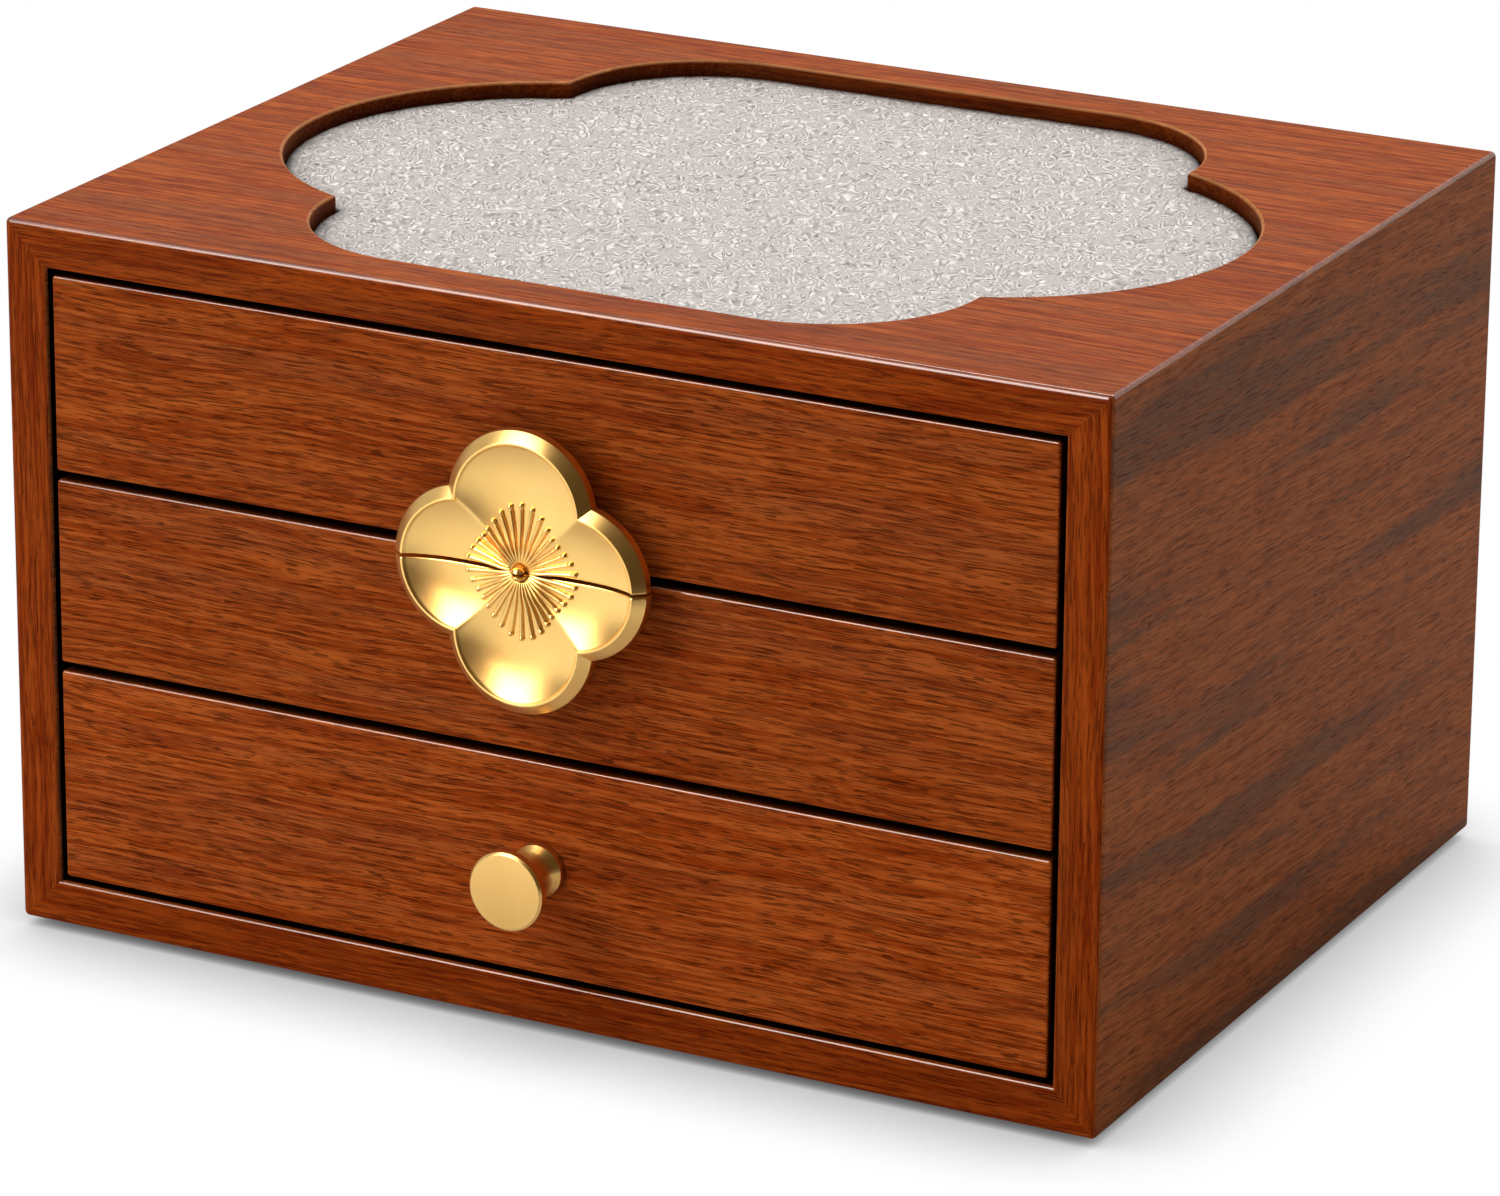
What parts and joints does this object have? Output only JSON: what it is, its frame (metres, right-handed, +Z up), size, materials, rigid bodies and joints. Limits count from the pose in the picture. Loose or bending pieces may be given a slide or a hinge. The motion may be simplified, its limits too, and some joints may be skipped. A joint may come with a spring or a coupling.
{
  "type": "jewelry box with drawers",
  "caption": "Wooden jewelry box with a lined tray in its top, sliding drawers, a flower-shaped metal pull split across two drawers and a round knob.",
  "frame": {"origin": "on the ground, under the middle of the whole box, pulls included", "axes": "+X to the right along the front, +Y to the back, +Z up; the drawers open towards -Y"},
  "size_m": [0.25, 0.2094, 0.156],
  "materials": {
    "case_wood": "satin lacquer, reddish brown",
    "drawer_front_wood": "satin lacquer, reddish brown",
    "inner_wood": "thin matt lacquer",
    "back_plywood": "stained plywood",
    "tray_fabric": "silver-grey crinkled fabric",
    "drawer_lining": "grey suede-like felt",
    "pull_brass": "polished gold-coloured brass",
    "steel_fasteners": "zinc plated",
    "foot_pads": "matt"
  },
  "bodies": {
    "case": {"top_panel": "case_wood", "bottom_panel": "case_wood", "left_side_panel": "case_wood", "right_side_panel": "case_wood", "back_panel": "back_plywood", "back_panel_pins": "steel_fasteners", "corner_tongues": "inner_wood", "tray_pad": "tray_fabric", "tray_board": "back_plywood", "tray_board_screws": "steel_fasteners", "runner_screws": "steel_fasteners", "front_left_foot": "foot_pads", "front_right_foot": "foot_pads", "back_left_foot": "foot_pads", "back_right_foot": "foot_pads", "bottom_left_runner": "inner_wood", "bottom_right_runner": "inner_wood", "middle_left_runner": "inner_wood", "middle_right_runner": "inner_wood", "top_left_runner": "inner_wood", "top_right_runner": "inner_wood"},
    "bottom_drawer": {"bottom_drawer_front": "drawer_front_wood", "bottom_drawer_left_side": "inner_wood", "bottom_drawer_right_side": "inner_wood", "bottom_drawer_back": "inner_wood", "bottom_drawer_floor": "back_plywood", "bottom_drawer_lining": "drawer_lining", "knob": "pull_brass", "knob_screw": "steel_fasteners"},
    "middle_drawer": {"middle_drawer_front": "drawer_front_wood", "middle_drawer_left_side": "inner_wood", "middle_drawer_right_side": "inner_wood", "middle_drawer_back": "inner_wood", "middle_drawer_floor": "back_plywood", "middle_drawer_lining": "drawer_lining", "flower_lower_half": "pull_brass", "flower_lower_posts": "pull_brass", "flower_lower_screws": "steel_fasteners"},
    "top_drawer": {"top_drawer_front": "drawer_front_wood", "top_drawer_left_side": "inner_wood", "top_drawer_right_side": "inner_wood", "top_drawer_back": "inner_wood", "top_drawer_floor": "back_plywood", "top_drawer_lining": "drawer_lining", "flower_upper_half": "pull_brass", "flower_upper_posts": "pull_brass", "flower_upper_screws": "steel_fasteners"}
  },
  "joints": [
    {"name": "bottom_drawer_slide", "type": "slide", "parent": "case", "child": "bottom_drawer", "axis": [0, -1, 0], "range_m": [0, 0.13]},
    {"name": "middle_drawer_slide", "type": "slide", "parent": "case", "child": "middle_drawer", "axis": [0, -1, 0], "range_m": [0, 0.13]},
    {"name": "top_drawer_slide", "type": "slide", "parent": "case", "child": "top_drawer", "axis": [0, -1, 0], "range_m": [0, 0.13]}
  ]
}
